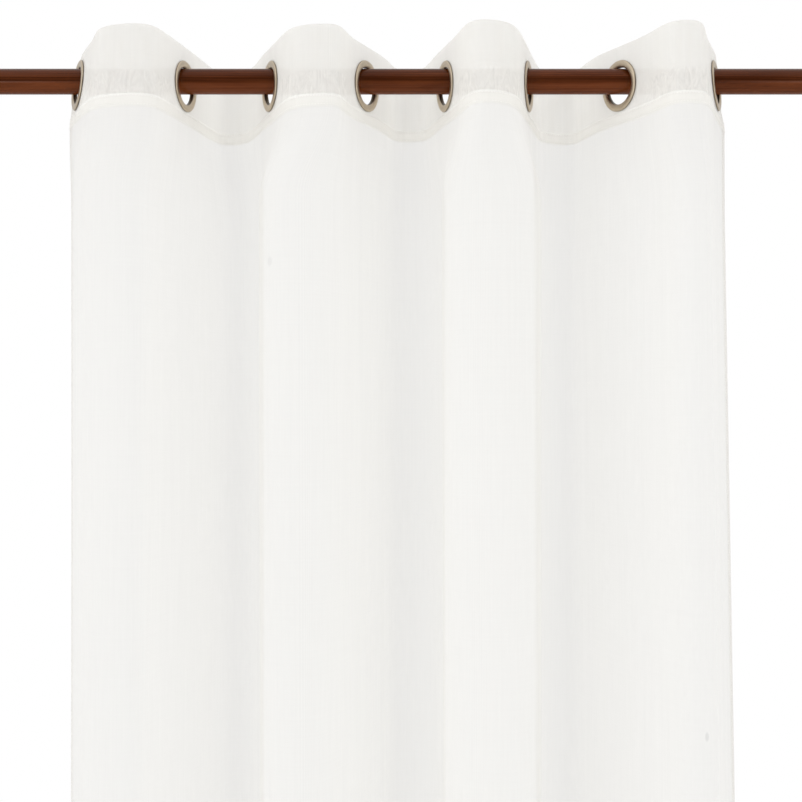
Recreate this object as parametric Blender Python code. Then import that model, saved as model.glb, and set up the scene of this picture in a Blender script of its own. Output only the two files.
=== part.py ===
"""Sheer voile curtain with eight eyelets, hanging on a plain wooden rod. Metres, +Z up.

The rod's axis is the X axis and the origin is its middle. The room side is -Y. At each eyelet
the cloth passes from behind the rod to before it or back again, so its plan is a wave.
"""

import math
from collections import namedtuple

import bmesh
import bpy
from mathutils import Matrix, Vector

MM = 0.001
GAP = 0.3 * MM

ROD_LENGTH = 1.2
ROD_RADIUS = 14 * MM
ROD_SIDES = 48

CLOTH = 1 * MM
DROP = 2.4
TOP_Z = 38.5 * MM
HEADING = 86 * MM
SIDE_ALLOWANCE = 46 * MM
LEFT_END_YAW = 80
RIGHT_END_YAW = 66

BORE_RADIUS = 20 * MM
FLANGE_RADIUS = 28 * MM
FLANGE_THICKNESS = 2 * MM
SLEEVE_WALL = 1.2 * MM
SLEEVE_BACK = -2.4 * MM
EYELET_SIDES = 24

# The cloth is straight in plan under a flange and a little past it.
STRAIGHT = 29 * MM
HALF_FOLD_STEPS = 6
FACET_STEPS = 4
CUTTER_DEPTH = 6 * CLOTH
SHARP_ANGLE = math.radians(40)

HEADING_FOOT_Z = TOP_Z - HEADING
HEM_Z = TOP_Z - DROP
SLEEVE_RADIUS = BORE_RADIUS + SLEEVE_WALL
HOLE_RADIUS = SLEEVE_RADIUS + GAP
FLANGE_SEAT = CLOTH / 2 + GAP

# A flange's rounded section: out from its inner edge to its rim, and up from its seat, both as
# shares of its width and of its thickness.
ArcPoint = namedtuple("ArcPoint", "out up")
FLANGE_ARC = (
    ArcPoint(out=1.0, up=0.3),
    ArcPoint(out=0.87, up=0.85),
    ArcPoint(out=0.55, up=1.0),
    ArcPoint(out=0.0, up=0.4),
)
BORE_FRONT = FLANGE_SEAT + FLANGE_ARC[-1].up * FLANGE_THICKNESS

# Below the heading the wave eases into the body's at this height, and from there into the hem's.
BODY_Z = -0.14

# Heights at which the cloth's plan is worked out, from the top edge to the hem.
LEVELS = (TOP_Z, HEADING_FOOT_Z, -0.08, -0.11, BODY_Z, -0.6, -1.2, -1.8, HEM_Z)

# A crossing is where the cloth passes the rod's line: x in metres, yaw to the X axis in degrees,
# and lean in degrees, positive where the top leans to +X.
Crossing = namedtuple("Crossing", "x yaw lean")
EYELETS = (
    Crossing(x=-0.361, yaw=63, lean=6),
    Crossing(x=-0.242, yaw=77, lean=0),
    Crossing(x=-0.146, yaw=67, lean=0),
    Crossing(x=-0.039, yaw=64, lean=2),
    Crossing(x=0.050, yaw=74, lean=-2),
    Crossing(x=0.142, yaw=75, lean=0),
    Crossing(x=0.245, yaw=61, lean=-3),
    Crossing(x=0.352, yaw=66, lean=-5),
)
BODY_CROSSINGS = (
    Crossing(x=-0.367, yaw=68, lean=0),
    Crossing(x=-0.246, yaw=66, lean=0),
    Crossing(x=-0.156, yaw=88, lean=0),
    Crossing(x=-0.043, yaw=66, lean=0),
    Crossing(x=0.048, yaw=95, lean=0),
    Crossing(x=0.153, yaw=90, lean=0),
    Crossing(x=0.252, yaw=58, lean=0),
    Crossing(x=0.356, yaw=66, lean=0),
)
HEM_CROSSINGS = (
    Crossing(x=-0.367, yaw=66, lean=0),
    Crossing(x=-0.250, yaw=64, lean=0),
    Crossing(x=-0.154, yaw=85, lean=0),
    Crossing(x=-0.045, yaw=62, lean=0),
    Crossing(x=0.050, yaw=90, lean=0),
    Crossing(x=0.156, yaw=84, lean=0),
    Crossing(x=0.262, yaw=60, lean=0),
    Crossing(x=0.392, yaw=62, lean=0),
)

# A fold lies between two crossings: its apex in x, its depth from the rod's line, and how full
# its left and right halves are, from 0 for a sharp bend to 1 for a square one.
Fold = namedtuple("Fold", "apex depth left right")
HEADING_FOLDS = (
    Fold(apex=-0.278, depth=0.081, left=0.65, right=0.70),
    Fold(apex=-0.214, depth=0.106, left=0.45, right=0.70),
    Fold(apex=-0.070, depth=0.080, left=0.80, right=0.40),
    Fold(apex=0.005, depth=0.089, left=0.65, right=0.90),
    Fold(apex=0.089, depth=0.093, left=0.80, right=0.66),
    Fold(apex=0.205, depth=0.104, left=0.75, right=0.42),
    Fold(apex=0.290, depth=0.092, left=0.47, right=0.80),
)
BODY_FOLDS = (
    Fold(apex=-0.288, depth=0.080, left=0.65, right=0.60),
    Fold(apex=-0.198, depth=0.100, left=0.55, right=0.60),
    Fold(apex=-0.108, depth=0.082, left=0.70, right=0.50),
    Fold(apex=0.004, depth=0.086, left=0.60, right=0.60),
    Fold(apex=0.099, depth=0.090, left=0.70, right=0.70),
    Fold(apex=0.200, depth=0.101, left=0.55, right=0.45),
    Fold(apex=0.308, depth=0.090, left=0.50, right=0.65),
)
HEM_FOLDS = (
    Fold(apex=-0.302, depth=0.082, left=0.60, right=0.60),
    Fold(apex=-0.200, depth=0.096, left=0.60, right=0.55),
    Fold(apex=-0.100, depth=0.086, left=0.65, right=0.55),
    Fold(apex=0.000, depth=0.086, left=0.55, right=0.60),
    Fold(apex=0.104, depth=0.092, left=0.65, right=0.65),
    Fold(apex=0.206, depth=0.100, left=0.60, right=0.50),
    Fold(apex=0.326, depth=0.088, left=0.55, right=0.65),
)

Finish = namedtuple("Finish", "name colour roughness metallic")
VOILE = Finish("voile", (0.93, 0.92, 0.90), 0.9, 0.0)
NICKEL = Finish("brushed_nickel", (0.42, 0.36, 0.29), 0.35, 1.0)
WOOD = Finish("mahogany_wood", (0.10, 0.03, 0.015), 0.45, 0.0)


def clear_scene():
    for thing in list(bpy.data.objects):
        bpy.data.objects.remove(thing, do_unlink=True)


def material(finish):
    made = bpy.data.materials.get(finish.name) or bpy.data.materials.new(finish.name)
    made.use_nodes = True
    shader = made.node_tree.nodes["Principled BSDF"]
    shader.inputs["Base Color"].default_value = (*finish.colour, 1.0)
    shader.inputs["Roughness"].default_value = finish.roughness
    shader.inputs["Metallic"].default_value = finish.metallic
    return made


def new_object(name, mesh, finish=None, matrix=Matrix.Identity(4)):
    thing = bpy.data.objects.new(name, mesh)
    thing.matrix_world = matrix
    if finish:
        mesh.materials.append(material(finish))
    bpy.context.collection.objects.link(thing)
    return thing


def mix(low, high, share):
    return low + (high - low) * share


def smooth(share):
    return share * share * (3 - 2 * share)


def eased(above, below, share):
    return [high.lerp(low, share) for high, low in zip(above, below)]


def side(index):
    """-1 where the fold after this crossing lies before the rod, and 1 where it lies behind."""
    return -1 if index % 2 == 0 else 1


def direction(yaw, index):
    """The cloth's way in plan at a crossing, from its yaw in degrees."""
    turn = math.radians(yaw)
    return Vector((math.cos(turn), side(index) * math.sin(turn)))


def bezier(start, leave, arrive, end, share):
    rest = 1 - share
    return (
        start * rest**3
        + leave * (3 * rest**2 * share)
        + arrive * (3 * rest * share**2)
        + end * share**3
    )


def half_fold(foot, way, apex, fullness):
    """Points in plan from a crossing's straight stretch, which runs along way, to an apex."""
    reach = (apex.y - foot.y) / way.y
    leave = foot + way * (fullness * reach)
    arrive = Vector((mix(apex.x, foot.x, fullness), apex.y))
    steps = range(HALF_FOLD_STEPS + 1)
    return [bezier(foot, leave, arrive, apex, step / HALF_FOLD_STEPS) for step in steps]


def plan(crossings, folds, crossing_xs):
    """The cloth's middle line in plan, from its left edge to its right edge."""
    centres = [Vector((x, 0.0)) for x in crossing_xs]
    ways = [direction(crossing.yaw, index) for index, crossing in enumerate(crossings)]
    margin = SIDE_ALLOWANCE - STRAIGHT
    first = centres[0] - ways[0] * STRAIGHT
    last = centres[-1] + ways[-1] * STRAIGHT
    points = [first - direction(LEFT_END_YAW, 0) * margin, first]
    for index, fold in enumerate(folds):
        apex = Vector((fold.apex, side(index) * fold.depth))
        left_foot = centres[index] + ways[index] * STRAIGHT
        right_foot = centres[index + 1] - ways[index + 1] * STRAIGHT
        rising = half_fold(left_foot, ways[index], apex, fold.left)
        falling = half_fold(right_foot, ways[index + 1], apex, fold.right)
        points += rising + falling[-2::-1]
    points += [last, last + direction(RIGHT_END_YAW, len(folds)) * margin]
    return points


def eyelet_axes(crossing, index):
    """Across, up and out of the cloth's room side, as the columns of a rotation."""
    across = direction(crossing.yaw, index).to_3d()
    up = Vector((math.tan(math.radians(crossing.lean)), 0.0, 1.0))
    up = (up - across * up.dot(across)).normalized()
    return Matrix((across, up, across.cross(up))).transposed()


def seat_drop(axes):
    """How far an eyelet's centre hangs below the rod's axis when its bore rests on the rod."""
    clear = ROD_RADIUS + GAP
    angles = [2 * math.pi * step / EYELET_SIDES for step in range(EYELET_SIDES // 2 + 1)]
    corners = [Vector((math.cos(a), math.sin(a), 0)) * BORE_RADIUS for a in angles]
    drops = []
    for depth in (SLEEVE_BACK, BORE_FRONT):
        for first, second in zip(corners, corners[1:]):
            for part in range(FACET_STEPS):
                point = axes @ (first.lerp(second, part / FACET_STEPS) + Vector((0, 0, depth)))
                if abs(point.y) < clear:
                    drops.append(point.z - math.sqrt(clear**2 - point.y**2))
    return min(drops)


def eyelet_matrix(crossing, index):
    axes = eyelet_axes(crossing, index)
    centre = Vector((crossing.x, 0.0, -seat_drop(axes)))
    return Matrix.Translation(centre) @ axes.to_4x4()


def cloth_plan(z):
    """The cloth's plan at one height: the heading's wave, then the body's, then the hem's."""
    head_z = max(z, HEADING_FOOT_Z)
    leaning = []
    for index, crossing in enumerate(EYELETS):
        centre = eyelet_matrix(crossing, index).translation
        leaning.append(centre.x + math.tan(math.radians(crossing.lean)) * (head_z - centre.z))
    head = plan(EYELETS, HEADING_FOLDS, leaning)
    body = plan(BODY_CROSSINGS, BODY_FOLDS, [crossing.x for crossing in BODY_CROSSINGS])
    hem = plan(HEM_CROSSINGS, HEM_FOLDS, [crossing.x for crossing in HEM_CROSSINGS])
    if z > BODY_Z:
        return eased(head, body, smooth((head_z - z) / (HEADING_FOOT_Z - BODY_Z)))
    return eased(body, hem, (BODY_Z - z) / (BODY_Z - HEM_Z))


def normals(points):
    """Unit normals of a plan line, towards the room side."""
    found = []
    for index in range(len(points)):
        before = points[max(index - 1, 0)]
        after = points[min(index + 1, len(points) - 1)]
        way = (after - before).normalized()
        found.append(Vector((way.y, -way.x)))
    return found


def panel_mesh():
    mesh = bpy.data.meshes.new("curtain_panel")
    bm = bmesh.new()
    rows = []
    for z in LEVELS:
        points = cloth_plan(z)
        faces_out = normals(points)
        row = []
        for offset in (CLOTH / 2, -CLOTH / 2):
            shifted = [point + out * offset for point, out in zip(points, faces_out)]
            row.append([bm.verts.new((point.x, point.y, z)) for point in shifted])
        rows.append(row[0] + row[1][::-1])
    for upper, lower in zip(rows, rows[1:]):
        around = len(upper)
        for index in range(around):
            after = (index + 1) % around
            bm.faces.new((upper[index], lower[index], lower[after], upper[after]))
    half = len(rows[0]) // 2
    for row in (rows[0], rows[-1]):
        for index in range(half - 1):
            bm.faces.new((row[index], row[index + 1], row[-2 - index], row[-1 - index]))
    bmesh.ops.recalc_face_normals(bm, faces=bm.faces)
    bm.to_mesh(mesh)
    bm.free()
    mesh.shade_smooth()
    mesh.set_sharp_from_angle(angle=SHARP_ANGLE)
    return mesh


def ring_mesh(name, profile):
    """A closed profile of (radius, height) points turned around local Z."""
    mesh = bpy.data.meshes.new(name)
    bm = bmesh.new()
    rings = []
    for step in range(EYELET_SIDES):
        angle = 2 * math.pi * step / EYELET_SIDES
        ring = [(r * math.cos(angle), r * math.sin(angle), height) for r, height in profile]
        rings.append([bm.verts.new(point) for point in ring])
    for step, ring in enumerate(rings):
        following = rings[(step + 1) % EYELET_SIDES]
        for index in range(len(profile)):
            after = (index + 1) % len(profile)
            bm.faces.new((ring[index], following[index], following[after], ring[after]))
    bmesh.ops.recalc_face_normals(bm, faces=bm.faces)
    bm.to_mesh(mesh)
    bm.free()
    mesh.shade_smooth()
    mesh.set_sharp_from_angle(angle=SHARP_ANGLE)
    return mesh


def flange_arc(inner_radius, sign):
    """A flange's rounded top from its rim to its inner edge, on one side of the cloth."""
    return [
        (mix(inner_radius, FLANGE_RADIUS, p.out), sign * (FLANGE_SEAT + p.up * FLANGE_THICKNESS))
        for p in FLANGE_ARC
    ]


def front_half_mesh():
    """The half with the sleeve, which goes through the hole in the cloth."""
    sleeve = [(BORE_RADIUS, SLEEVE_BACK), (SLEEVE_RADIUS, SLEEVE_BACK)]
    seat = [(SLEEVE_RADIUS, FLANGE_SEAT), (FLANGE_RADIUS, FLANGE_SEAT)]
    return ring_mesh("eyelet_front", flange_arc(BORE_RADIUS, 1) + sleeve + seat)


def back_half_mesh():
    """The washer that closes on the sleeve behind the cloth."""
    seat = [(HOLE_RADIUS, -FLANGE_SEAT), (FLANGE_RADIUS, -FLANGE_SEAT)]
    return ring_mesh("eyelet_back", flange_arc(HOLE_RADIUS, -1) + seat)


def hole_cutter(index, matrix):
    mesh = bpy.data.meshes.new(f"hole_cutter_{index}")
    bm = bmesh.new()
    bmesh.ops.create_cone(
        bm,
        cap_ends=True,
        segments=EYELET_SIDES,
        radius1=HOLE_RADIUS,
        radius2=HOLE_RADIUS,
        depth=CUTTER_DEPTH,
    )
    bm.to_mesh(mesh)
    bm.free()
    cutter = new_object(mesh.name, mesh, matrix=matrix)
    cutter.hide_render = True
    cutter.display_type = "WIRE"
    return cutter


def build_panel():
    panel = new_object("curtain_panel", panel_mesh(), VOILE)
    for index, crossing in enumerate(EYELETS):
        cut = panel.modifiers.new(f"hole_{index + 1}", "BOOLEAN")
        cut.operation = "DIFFERENCE"
        cut.solver = "EXACT"
        cut.object = hole_cutter(index + 1, eyelet_matrix(crossing, index))


def build_eyelets():
    front, back = front_half_mesh(), back_half_mesh()
    for mesh in (front, back):
        mesh.materials.append(material(NICKEL))
    for index, crossing in enumerate(EYELETS):
        matrix = eyelet_matrix(crossing, index)
        new_object(f"eyelet_{index + 1}_front", front, matrix=matrix)
        new_object(f"eyelet_{index + 1}_back", back, matrix=matrix)


def build_rod():
    mesh = bpy.data.meshes.new("curtain_rod")
    bm = bmesh.new()
    bmesh.ops.create_cone(
        bm,
        cap_ends=True,
        segments=ROD_SIDES,
        radius1=ROD_RADIUS,
        radius2=ROD_RADIUS,
        depth=ROD_LENGTH,
    )
    bm.to_mesh(mesh)
    bm.free()
    mesh.shade_smooth()
    mesh.set_sharp_from_angle(angle=SHARP_ANGLE)
    new_object("curtain_rod", mesh, WOOD, Matrix.Rotation(math.pi / 2, 4, "Y"))


clear_scene()
build_rod()
build_panel()
build_eyelets()
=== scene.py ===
import math
from collections import namedtuple

import bmesh
import bpy
import numpy as np
from bpy.props import FloatProperty, FloatVectorProperty, IntProperty, PointerProperty
from mathutils import Matrix, Vector


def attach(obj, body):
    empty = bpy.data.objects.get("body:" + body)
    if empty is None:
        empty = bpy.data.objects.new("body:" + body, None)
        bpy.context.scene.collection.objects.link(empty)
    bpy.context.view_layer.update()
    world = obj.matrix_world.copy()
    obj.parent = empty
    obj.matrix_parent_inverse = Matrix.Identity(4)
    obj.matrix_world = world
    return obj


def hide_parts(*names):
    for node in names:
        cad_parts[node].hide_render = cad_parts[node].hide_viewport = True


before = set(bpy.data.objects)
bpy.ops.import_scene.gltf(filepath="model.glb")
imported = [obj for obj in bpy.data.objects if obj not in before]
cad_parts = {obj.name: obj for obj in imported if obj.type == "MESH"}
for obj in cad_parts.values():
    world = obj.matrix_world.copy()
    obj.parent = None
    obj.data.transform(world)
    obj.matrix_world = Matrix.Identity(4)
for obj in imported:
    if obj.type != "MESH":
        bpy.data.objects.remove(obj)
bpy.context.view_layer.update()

bl_info = {
    "name": "Voile curtain on a wooden rod",
    "version": (1, 0, 0),
    "blender": (4, 5, 0),
    "location": "3D View > Sidebar > Curtain",
    "description": "Dresses the curtain's solids with voile, nickel eyelets, thread and a stained rod",
    "category": "Object",
}

# Metres, +Z up. The rod's axis is the X axis and the room side is -Y.
MM = 0.001
BODY = "root"

TOP_Z = 38.5 * MM
HEADING_FOOT_Z = -47.5 * MM
BODY_Z = -0.14
HEM_Z = TOP_Z - 2.4
SIDE_ALLOWANCE = 46 * MM
STRAIGHT = 29 * MM
LEFT_END_YAW = 80
RIGHT_END_YAW = 66
ROD_RADIUS = 14 * MM
ROD_HALF = 0.6

# Columns of the cloth's mesh: in each half of a fold, across each eyelet and in each side hem.
# Rows: in the heading, from its foot to BODY_Z, and from there to the hem.
HALF_FOLD_STEPS = 18
STRAIGHT_STEPS = 16
MARGIN_STEPS = 5
HEADING_ROWS = 24
UPPER_ROWS = 12
LOWER_ROWS = 92

# A crossing is where the cloth passes the rod's line: x in metres, yaw to the X axis and lean in
# degrees, and how far its eyelet's middle hangs below the rod's axis, in metres.
Crossing = namedtuple("Crossing", "x yaw lean drop")
EYELETS = (
    Crossing(x=-0.361, yaw=63, lean=6, drop=0.00433),
    Crossing(x=-0.242, yaw=77, lean=0, drop=0.00550),
    Crossing(x=-0.146, yaw=67, lean=0, drop=0.00536),
    Crossing(x=-0.039, yaw=64, lean=2, drop=0.00522),
    Crossing(x=0.050, yaw=74, lean=-2, drop=0.00542),
    Crossing(x=0.142, yaw=75, lean=0, drop=0.00548),
    Crossing(x=0.245, yaw=61, lean=-3, drop=0.00489),
    Crossing(x=0.352, yaw=66, lean=-5, drop=0.00481),
)
Pass = namedtuple("Pass", "x yaw")
BODY_CROSSINGS = (
    Pass(x=-0.367, yaw=68),
    Pass(x=-0.246, yaw=66),
    Pass(x=-0.156, yaw=88),
    Pass(x=-0.043, yaw=66),
    Pass(x=0.048, yaw=95),
    Pass(x=0.153, yaw=90),
    Pass(x=0.252, yaw=58),
    Pass(x=0.356, yaw=66),
)
HEM_CROSSINGS = (
    Pass(x=-0.367, yaw=66),
    Pass(x=-0.250, yaw=64),
    Pass(x=-0.154, yaw=85),
    Pass(x=-0.045, yaw=62),
    Pass(x=0.050, yaw=90),
    Pass(x=0.156, yaw=84),
    Pass(x=0.262, yaw=60),
    Pass(x=0.392, yaw=62),
)

# A fold lies between two crossings: its apex in x, its depth from the rod's line, and how full
# its left and right halves are.
Fold = namedtuple("Fold", "apex depth left right")
HEADING_FOLDS = (
    Fold(apex=-0.278, depth=0.081, left=0.65, right=0.70),
    Fold(apex=-0.214, depth=0.106, left=0.45, right=0.70),
    Fold(apex=-0.070, depth=0.080, left=0.80, right=0.40),
    Fold(apex=0.005, depth=0.089, left=0.65, right=0.90),
    Fold(apex=0.089, depth=0.093, left=0.80, right=0.66),
    Fold(apex=0.205, depth=0.104, left=0.75, right=0.42),
    Fold(apex=0.290, depth=0.092, left=0.47, right=0.80),
)
BODY_FOLDS = (
    Fold(apex=-0.288, depth=0.080, left=0.65, right=0.60),
    Fold(apex=-0.198, depth=0.100, left=0.55, right=0.60),
    Fold(apex=-0.108, depth=0.082, left=0.70, right=0.50),
    Fold(apex=0.004, depth=0.086, left=0.60, right=0.60),
    Fold(apex=0.099, depth=0.090, left=0.70, right=0.70),
    Fold(apex=0.200, depth=0.101, left=0.55, right=0.45),
    Fold(apex=0.308, depth=0.090, left=0.50, right=0.65),
)
HEM_FOLDS = (
    Fold(apex=-0.302, depth=0.082, left=0.60, right=0.60),
    Fold(apex=-0.200, depth=0.096, left=0.60, right=0.55),
    Fold(apex=-0.100, depth=0.086, left=0.65, right=0.55),
    Fold(apex=0.000, depth=0.086, left=0.55, right=0.60),
    Fold(apex=0.104, depth=0.092, left=0.65, right=0.65),
    Fold(apex=0.206, depth=0.100, left=0.60, right=0.50),
    Fold(apex=0.326, depth=0.088, left=0.55, right=0.65),
)

# How often the folds' turns are softened. The heading's left corner turns in above its eyelet:
# how far, from which height up, and between which lengths along it fades. The right edge curls
# back: how far, and between which heights it starts.
SOFTENING = 24
CORNER_TURN = 5 * MM
CORNER_Z = 20 * MM
CORNER_START = 0.07
CORNER_END = 0.13
CURL = 8 * MM
CURL_LOW_Z = -40 * MM
CURL_HIGH_Z = 15 * MM

# Creases: how many, how wide, how far up and down each reaches and how much they slant. They keep
# clear of the eyelets, within this distance along and fading over the next, and from CALM_Z up.
CREASES = 90
CREASE_WIDTHS = (5 * MM, 15 * MM)
CREASE_REACHES = (0.15, 0.9)
CREASE_SLANT = 0.012
CALM_HALF = 31 * MM
CALM_FADE = 22 * MM
CALM_Z = -0.13
CALM_RISE = 0.07

# Layers of cloth, as offsets from the sheet's middle towards the room.
FACE_LAYER = 0.15 * MM
TUCKED_LAYER = -0.15 * MM
LINING_LAYER = -0.16 * MM
BACK_LAYER = -0.45 * MM
SIDE_TUCKED_LAYER = -0.60 * MM
SIDE_BACK_LAYER = -0.80 * MM
HEADING_TUCK = 13 * MM
STRIP_TOP_Z = HEADING_FOOT_Z + HEADING_TUCK
BOTTOM_HEM = 75 * MM
HEM_TOP_Z = HEM_Z + BOTTOM_HEM
HEM_TUCK = 12 * MM
BEND_STEPS = 4
SWELL = 0.5 * MM
SWELL_SLOPE = 1.5 * MM
SLOPE_ROWS = 6
LINING_GAP = 0.5 * MM
LINING_ROWS = 20

# Two thick places in the yarn: how far along the cloth and down its face, their half sizes, and
# how much of the grey painted shade each has.
Slub = namedtuple("Slub", "along down half_width half_height strength")
SLUBS = (
    Slub(along=0.5972, down=0.2485, half_width=4.2 * MM, half_height=6.0 * MM, strength=0.45),
    Slub(along=1.5320, down=0.7465, half_width=4.8 * MM, half_height=5.6 * MM, strength=1.0),
)
# How far the face starts from the tucked edge, along the folded cloth.
FACE_START = 100.4 * MM

# The weave's pitches, how soft the strip's edges look, how high its two dense lines are (the top one
# is also a painted bright line), and where the front folds are rubbed by the rod.
WARP_PITCH = 0.9 * MM
WEFT_PITCH = 1.0 * MM
SOFT_EDGE = 0.5 * MM
STRIP_EDGE = 1.6 * MM
STRIP_FOOT = 1.2 * MM
RUBBED_LOW_Z = -35 * MM
RUBBED_HIGH_Z = -10 * MM
RUBBED_SOFT = 2 * MM
RUBBED_START = 25 * MM
RUBBED_FULL = 50 * MM

# Stitches: how far above the cloth as a share of their thickness, how far in from an edge, how far
# from a side hem's inner fold to the next column, their seed and their least and greatest size.
STITCH_PROUD = 0.3
STITCH_INSET = 2 * MM
SIDE_STITCH_SHARE = 0.6
STITCH_SEED = 3
LEAST_SIZE = 0.82
GREATEST_SIZE = 1.08

# The hole for an eyelet, and the eyelet's halves as (radius, height from the cloth's middle).
HOLE_RADIUS = 22.3 * MM
HOLE_DEPTH = 5 * MM
RING_SIDES = 96
ProfilePoint = namedtuple("ProfilePoint", "radius height")
FRONT_HALF = (
    ProfilePoint(20.00, -2.40),
    ProfilePoint(20.25, -2.75),
    ProfilePoint(20.75, -2.80),
    ProfilePoint(21.10, -2.55),
    ProfilePoint(21.20, -2.20),
    ProfilePoint(21.20, 0.45),
    ProfilePoint(21.40, 0.50),
    ProfilePoint(27.20, 0.50),
    ProfilePoint(27.70, 0.55),
    ProfilePoint(27.95, 0.75),
    ProfilePoint(28.00, 1.05),
    ProfilePoint(27.85, 1.45),
    ProfilePoint(27.50, 1.90),
    ProfilePoint(26.90, 2.28),
    ProfilePoint(26.20, 2.54),
    ProfilePoint(25.30, 2.72),
    ProfilePoint(24.20, 2.78),
    ProfilePoint(23.10, 2.70),
    ProfilePoint(22.10, 2.48),
    ProfilePoint(21.30, 2.14),
    ProfilePoint(20.70, 1.70),
    ProfilePoint(20.25, 1.15),
    ProfilePoint(20.05, 0.60),
    ProfilePoint(20.00, 0.00),
)
BACK_HALF = (
    ProfilePoint(21.45, -0.50),
    ProfilePoint(21.45, -1.60),
    ProfilePoint(21.70, -2.05),
    ProfilePoint(22.30, -2.45),
    ProfilePoint(23.20, -2.68),
    ProfilePoint(24.40, -2.75),
    ProfilePoint(25.50, -2.66),
    ProfilePoint(26.50, -2.38),
    ProfilePoint(27.30, -1.92),
    ProfilePoint(27.80, -1.35),
    ProfilePoint(28.00, -0.85),
    ProfilePoint(27.80, -0.55),
    ProfilePoint(27.40, -0.50),
)
JOIN_DISTANCE = 0.001 * MM

# Radii between which painted darkening grows towards the rim (a painted dark reflection) and fades out
# of the sleeve (painted shade inside it).
RIM_SHADE = (27.6 * MM, 27.95 * MM)
SLEEVE_SHADE = (20.1 * MM, 20.6 * MM)

# Half of the rod's outline, from the middle of its end to where its side starts, as a share of
# its radius and millimetres in from the end.
RodPoint = namedtuple("RodPoint", "share inward")
ROD_END = (
    RodPoint(0.0, 0.00),
    RodPoint(0.25, 0.00),
    RodPoint(0.50, 0.00),
    RodPoint(0.75, 0.00),
    RodPoint(0.92, 0.00),
    RodPoint(0.955, 0.08),
    RodPoint(0.985, 0.30),
    RodPoint(1.0, 0.75),
)
ROD_SIDES = 128
ROD_STRETCHES = 24

# Where the tree's heart was: how far before and below the rod's axis, in metres, and how closely
# its growth rings follow each other, in radians a metre.
HEART_BEFORE = 0.028
HEART_BELOW = 0.019
RING_TURNS = 2600.0

# The camera looks level along +Y.
CAMERA_PLACE = (0.0, -1.2476, -0.3576)
LENS_MM = 50
SENSOR_MM = 36
FLOOR_GAP = 13.5 * MM

Softbox = namedtuple("Softbox", "name place aim width height power")
SOFTBOXES = (
    Softbox("key_softbox", (-2.2, -1.9, 0.8), (-0.1, 0, -0.3), 0.7, 1.1, 1),
    Softbox("left_softbox", (-1.9, -3.0, -0.95), (-0.45, 0, 0), 0.9, 0.3, 9),
    Softbox("right_softbox", (1.9, -3.0, -0.95), (0.45, 0, 0), 0.9, 0.3, 9),
)


def mix(low, high, share):
    return low + (high - low) * share


def smooth(share):
    share = np.clip(share, 0.0, 1.0)
    return share * share * (3 - 2 * share)


# Nodes.


class Socket:
    """A node's output that Python's operators work on, each adding its Math node."""

    def __init__(self, tree, socket):
        self.tree = tree
        self.socket = socket

    def __add__(self, other):
        return self.tree.maths("ADD", self, other)

    def __radd__(self, other):
        return self.tree.maths("ADD", other, self)

    def __sub__(self, other):
        return self.tree.maths("SUBTRACT", self, other)

    def __rsub__(self, other):
        return self.tree.maths("SUBTRACT", other, self)

    def __mul__(self, other):
        return self.tree.maths("MULTIPLY", self, other)

    def __rmul__(self, other):
        return self.tree.maths("MULTIPLY", other, self)

    def __truediv__(self, other):
        return self.tree.maths("DIVIDE", self, other)


class Tree:
    """A node tree, and the one way that nodes are added to it."""

    def __init__(self, tree):
        self.tree = tree

    def add(self, kind, settings=None, values=None, output=0):
        """Adds a node, sets it up, then gives its sockets their values or links."""
        node = self.tree.nodes.new(kind)
        for name, value in (settings or {}).items():
            setattr(node, name, value)
        for name, value in (values or {}).items():
            if isinstance(value, Socket):
                self.tree.links.new(value.socket, node.inputs[name])
            else:
                node.inputs[name].default_value = value
        return Socket(self, node.outputs[output]) if len(node.outputs) else node

    def maths(self, operation, first, second=0.0):
        return self.add("ShaderNodeMath", {"operation": operation}, {0: first, 1: second})

    def between(self, share, low, high):
        """A colour between two colours."""
        settings = {"data_type": "RGBA"}
        return self.add("ShaderNodeMix", settings, {0: share, 6: low, 7: high}, output=2)

    def stretched(self, place, scale):
        return self.add("ShaderNodeVectorMath", {"operation": "MULTIPLY"}, {0: place, 1: scale})

    def noise(self, place, scale, detail=2.0, roughness=0.5, distortion=0.0):
        values = {
            "Vector": self.stretched(place, scale),
            "Scale": 1.0,
            "Detail": detail,
            "Roughness": roughness,
            "Distortion": distortion,
        }
        return self.add("ShaderNodeTexNoise", None, values)

    def band(self, value, low, high):
        """0 below low and 1 above high, with a soft rise between."""
        values = {"Value": value, "From Min": low, "From Max": high}
        return self.add("ShaderNodeMapRange", {"interpolation_type": "SMOOTHSTEP"}, values)

    def level_band(self, value, low, high, soft):
        """1 between low and high, with a soft edge at both."""
        risen = self.band(value, low - soft, low + soft)
        return risen - self.band(value, high - soft, high + soft)

    def axes(self, place):
        node = self.tree.nodes.new("ShaderNodeSeparateXYZ")
        self.tree.links.new(place.socket, node.inputs[0])
        return [Socket(self, output) for output in node.outputs]

    def joined(self, x, y, z):
        return self.add("ShaderNodeCombineXYZ", None, {0: x, 1: y, 2: z})


def new_material(name):
    made = bpy.data.materials.new(name)
    made.use_nodes = True
    made.node_tree.nodes.clear()
    return made, Tree(made.node_tree)


def four(colour):
    return (*colour, 1.0)


# Settings.


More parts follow.
